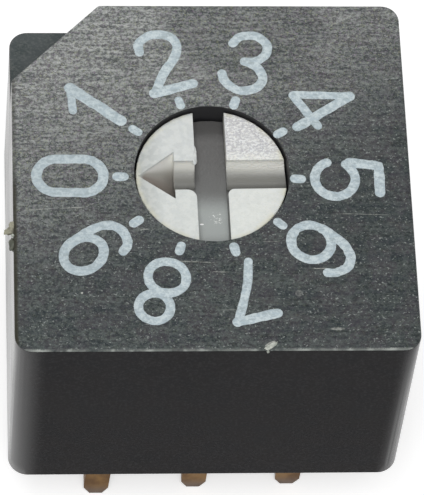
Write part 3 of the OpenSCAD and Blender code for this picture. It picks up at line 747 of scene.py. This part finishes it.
def print_digits(paint):
    bm = bmesh.new()
    for number, strokes in enumerate(DIGITS):
        angle = math.radians(FIRST_ANGLE + STEP_ANGLE * number)
        outward = Vector((math.cos(angle), math.sin(angle)))
        clockwise = Vector((outward.y, -outward.x))
        for order, (points, width) in enumerate(strokes):
            placed = [clockwise * u + outward * r for u, r in points]
            placed = [PRINT_CENTRE + Vector((p.x * PRINT_STRETCH, p.y)) for p in placed]
            stroke(bm, placed, width, INK_HEIGHT + 0.001 * order, seed=3.7 * number + order)
    add_mesh("dial_digits", bm, paint, "housing")


def print_ticks(paint):
    bm = bmesh.new()
    for number, middle in enumerate(TICKS):
        angle = math.radians(FIRST_ANGLE + STEP_ANGLE * number + TICK_TURN)
        half = Vector((math.cos(angle), math.sin(angle))) * TICK_LENGTH / 2
        placed = [Vector(middle) - half, Vector(middle) + half]
        stroke(bm, placed, TICK_WIDTH, INK_HEIGHT, seed=50.3 + 2.1 * number)
    add_mesh("dial_ticks", bm, paint, "housing")


def lump(bm, centre, radii, seed, roughness=0.35):
    """Rough torn lump of plastic."""
    made = bmesh.ops.create_icosphere(bm, subdivisions=3, radius=1)["verts"]
    for v in made:
        push = 1 + roughness * noise.noise(v.co * 1.7 + Vector((seed, 0, 0)))
        push += roughness * 0.5 * noise.noise(v.co * 4.1 + Vector((0, seed, 0)))
        v.co = Vector(c + r * push * p for c, r, p in zip(centre, radii, v.co)) * MM
    return made


def make_burr():
    """Flash along the left top edge: a bent spike, and a dark lump in front of it."""
    bm = bmesh.new()
    lump(bm, (-HALF - 0.01, -1.50, DIAL_Z - 0.11), (0.10, 0.15, 0.10), 1.0)
    spike = lump(bm, (-HALF - 0.05, -1.60, DIAL_Z - 0.10), (0.15, 0.10, 0.08), 4.0)
    for v in spike:
        out = max(0.0, -HALF - v.co.x / MM)
        v.co.x -= out * 0.1 * MM
        v.co.y -= out * out * 1.2 * MM
    lump(bm, (-HALF - 0.02, -1.97, DIAL_Z - 0.15), (0.085, 0.18, 0.12), 7.0)
    add_mesh("edge_burr", bm, flash_plastic(), "housing")


# Pale torn flakes on the top edges: centre from the dial face, half lengths, turn in degrees
FLAKES = [
    ((1.28, -HALF + 0.11, 0.005), (0.17, 0.06, 0.045), 30),
    ((1.20, -HALF - 0.01, -0.08), (0.03, 0.03, 0.04), 0),
    ((-HALF - 0.01, -1.77, -0.05), (0.045, 0.04, 0.05), 0),
]


def make_flakes():
    bm = bmesh.new()
    for number, (centre, radii, turn) in enumerate(FLAKES):
        way = Matrix.Rotation(math.radians(turn), 3, "Z")
        for v in lump(bm, (0, 0, 0), radii, 12.0 + number, 0.5):
            v.co = way @ v.co + (Vector(centre) + Vector((0, 0, DIAL_Z))) * MM
    add_mesh("edge_flakes", bm, flake_plastic(), "housing")


def make_slot_burr(plastic):
    """White burr that bulges into the screwdriver slot from its far left edge."""
    bm = bmesh.new()
    lump(bm, (-0.42, 0.63, KNOB_Z - 0.055), (0.065, 0.30, 0.06), 21.0, 0.3)
    add_mesh("slot_burr", bm, plastic, "rotor")


def dress_nodes(knob):
    """Gives the CAD nodes that show as they are their own finishes."""
    metal = terminal_metal()
    steel = strip_metal("spring_steel_strip", (0.62, 0.63, 0.64), (0.42, 0.43, 0.45), 0.24)
    bronze = strip_metal("wiper_bronze_strip", (0.74, 0.46, 0.20), (0.58, 0.33, 0.14), 0.26)
    gold = strip_metal("disc_gold_plate", (0.90, 0.68, 0.28), (0.78, 0.55, 0.20), 0.20)
    finishes = {
        "base": inner_plastic(), "potting_seal": resin(), "rotor": knob,
        "rotor_seal": rubber(), "code_disc": gold,
    }
    for name, piece in nodes.items():
        if name.startswith("terminal"):
            finishes[name] = metal
        if name.startswith("wiper"):
            finishes[name] = bronze
        if name.startswith("detent"):
            finishes[name] = steel
        if name in finishes:
            piece.material_slots[0].material = finishes[name]


def make_floor():
    """Pale floor: white to the eye and to reflections, and it keeps the object's shadow."""
    t = Tree("floor", "ShaderNodeAddShader")
    diffuse = t.new("ShaderNodeBsdfDiffuse")
    diffuse.inputs["Color"].default_value = (0.8, 0.8, 0.8, 1)
    glow = t.new("ShaderNodeEmission")
    path = t.new("ShaderNodeLightPath")
    seen = t.math("MAXIMUM", path.outputs["Is Camera Ray"], path.outputs["Is Glossy Ray"])
    seen = t.math("MAXIMUM", seen, path.outputs["Is Transmission Ray"])
    t.put(glow.inputs["Strength"], t.math("MULTIPLY", seen, FLOOR_GLOW))
    t.put(t.shader.inputs[0], diffuse.outputs[0])
    t.put(t.shader.inputs[1], glow.outputs[0])
    bm = bmesh.new()
    bmesh.ops.create_circle(bm, cap_ends=True, segments=48, radius=FLOOR_RADIUS)
    for v in bm.verts:
        v.co.z = (TIP_Z - FLOOR_GAP) * MM
    mesh = bpy.data.meshes.new("floor")
    bm.to_mesh(mesh)
    bm.free()
    mesh.materials.append(t.material)
    floor = bpy.data.objects.new("floor", mesh)
    bpy.context.scene.collection.objects.link(floor)


def add_lamp(name, azimuth, elevation, distance, size, power):
    """Square soft lamp that faces the dial, in degrees, metres and watts. Azimuth 0 is -Y and 90 is +X."""
    a, e = math.radians(azimuth), math.radians(elevation)
    way = Vector((math.sin(a) * math.cos(e), -math.cos(a) * math.cos(e), math.sin(e)))
    data = bpy.data.lights.new(name, "AREA")
    data.size = size
    data.energy = power
    lamp = bpy.data.objects.new(name, data)
    bpy.context.scene.collection.objects.link(lamp)
    lamp.location = way * distance + Vector((0, 0, DIAL_Z * MM))
    lamp.rotation_mode = "QUATERNION"
    lamp.rotation_quaternion = way.to_track_quat("Z", "Y")


def light_scene():
    scene = bpy.context.scene
    scene.view_settings.view_transform = "Standard"
    world = bpy.data.worlds.new("studio")
    scene.world = world
    world.use_nodes = True
    tree = world.node_tree
    tree.nodes.clear()
    out = tree.nodes.new("ShaderNodeOutputWorld")
    sky = tree.nodes.new("ShaderNodeBackground")
    path = tree.nodes.new("ShaderNodeLightPath")
    pick = tree.nodes.new("ShaderNodeMapRange")
    seen = tree.nodes.new("ShaderNodeMath")
    seen.operation = "MAXIMUM"
    through = tree.nodes.new("ShaderNodeMath")
    through.operation = "MAXIMUM"
    tree.links.new(path.outputs["Is Camera Ray"], seen.inputs[0])
    tree.links.new(path.outputs["Is Glossy Ray"], seen.inputs[1])
    tree.links.new(seen.outputs[0], through.inputs[0])
    tree.links.new(path.outputs["Is Transmission Ray"], through.inputs[1])
    tree.links.new(through.outputs[0], pick.inputs["Value"])
    pick.inputs["To Min"].default_value = SKY_FILL
    pick.inputs["To Max"].default_value = 1
    tree.links.new(pick.outputs[0], sky.inputs["Strength"])
    tree.links.new(sky.outputs[0], out.inputs["Surface"])
    add_lamp("key_front", azimuth=355, elevation=62, distance=0.25, size=0.12, power=0.36)
    add_lamp("haze_back_left", azimuth=192, elevation=50, distance=0.075, size=0.02, power=0.012)


make_camera()
light_scene()
make_floor()
make_housing()
knob_finish = knob_plastic()
dress_nodes(knob_finish)
paint = print_paint()
print_digits(paint)
print_ticks(paint)
make_burr()
make_flakes()
make_slot_burr(knob_finish)
